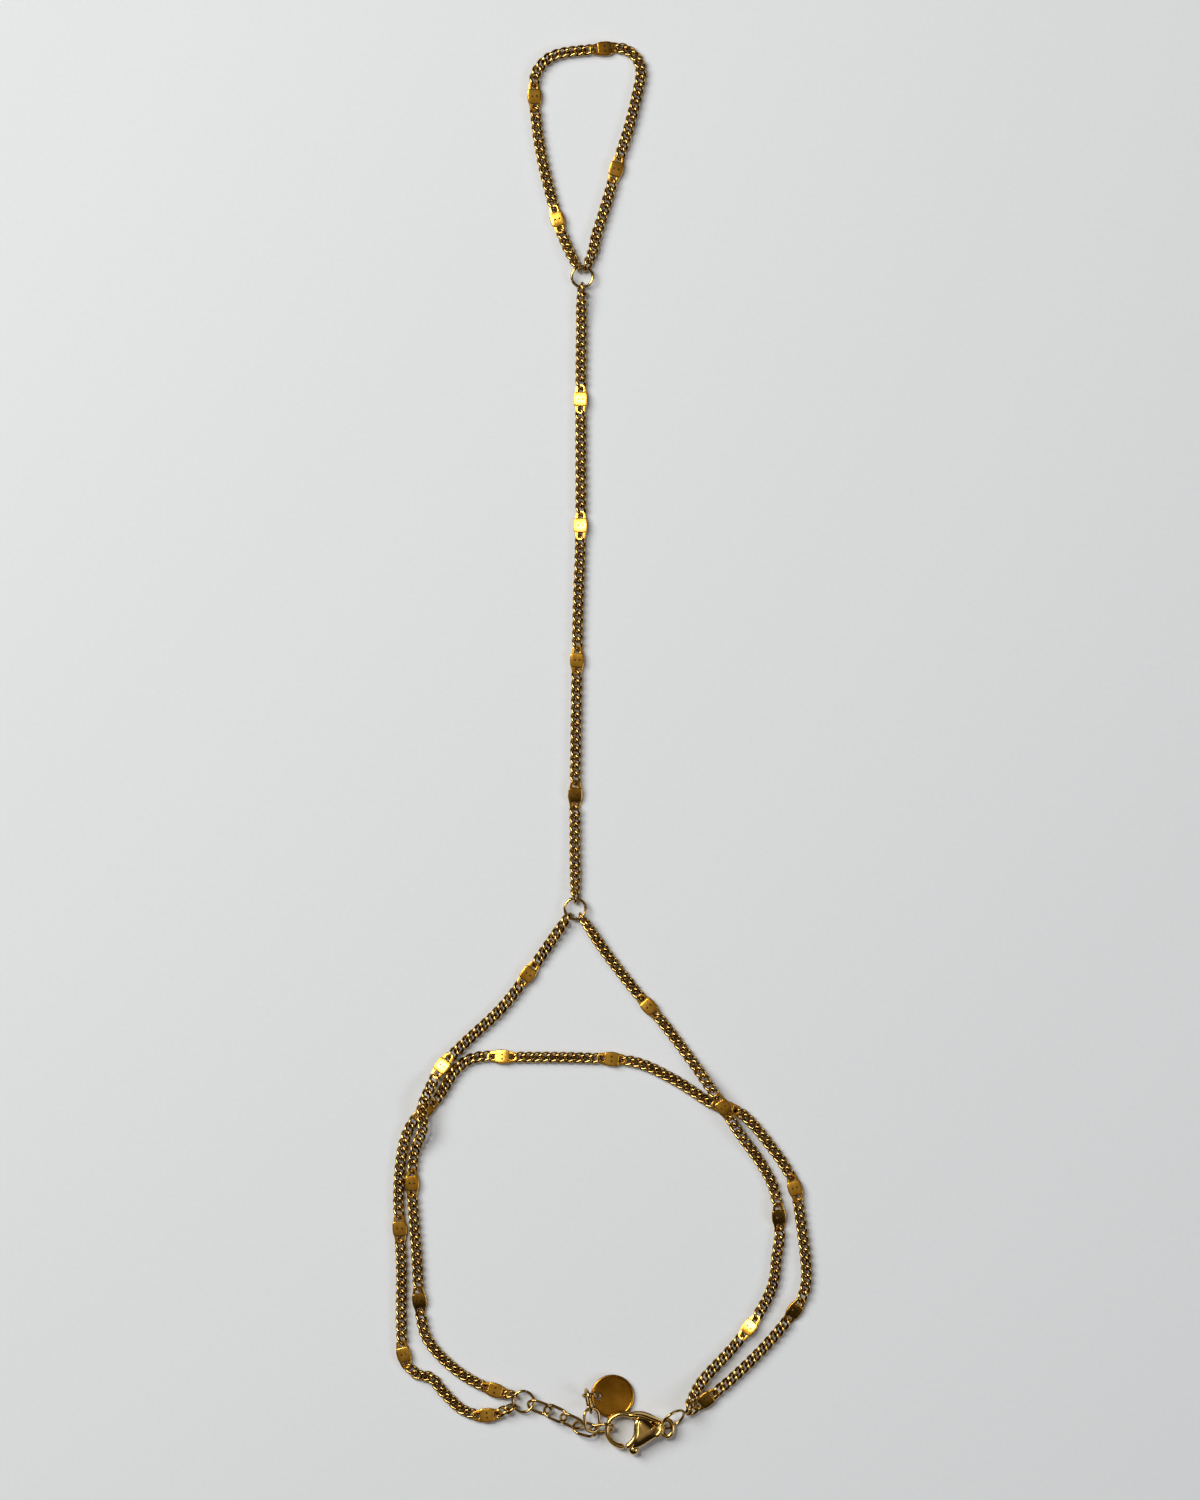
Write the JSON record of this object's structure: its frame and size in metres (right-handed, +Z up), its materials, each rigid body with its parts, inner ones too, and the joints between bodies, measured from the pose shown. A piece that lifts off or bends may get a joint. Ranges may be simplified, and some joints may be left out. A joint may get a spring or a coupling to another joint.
{
  "type": "hand chain bracelet",
  "caption": "Gold-coloured hand chain: a finger loop, a chain over the back of the hand and two legs to a wrist chain with a lobster clasp, an extender and a round tag.",
  "frame": {"origin": "middle of the whole piece's outline as it lies flat, on the surface", "axes": "+Y from the wrist to the finger, +X to the right in the picture, +Z up from the surface"},
  "size_m": [0.0596, 0.2017, 0.0036],
  "materials": {
    "chain": "polished gold-coloured plating on stainless steel",
    "plates": "polished gold-coloured plating on stainless steel",
    "rings": "polished gold-coloured plating on stainless steel",
    "extender": "polished gold-coloured plating on stainless steel",
    "tag": "satin face with a polished rim",
    "clasp": "polished gold-coloured plating on stainless steel"
  },
  "bodies": {
    "bracelet": {"finger_chain": "chain", "finger_main_links": "plates", "finger_ring": "rings", "hand_chain": "chain", "hand_main_links": "plates", "hand_ring": "rings", "left_leg_chain": "chain", "right_leg_chain": "chain", "wrist_chain": "chain", "end_ring": "rings", "extender_chain": "extender", "tag_ring": "rings", "tag": "tag", "clasp_body": "clasp", "clasp_pin": "clasp", "clasp_ring": "rings"},
    "lever": {"clasp_lever": "clasp"}
  },
  "joints": [
    {"name": "clasp_lever_pivot", "type": "hinge", "parent": "bracelet", "child": "lever", "pos_m": [0.00671, -0.0978, 0.00135], "axis": [0, 0, -1], "range_deg": [0, 25], "stiffness_Nm_per_rad": 0.003, "springref_deg": -11.46}
  ]
}
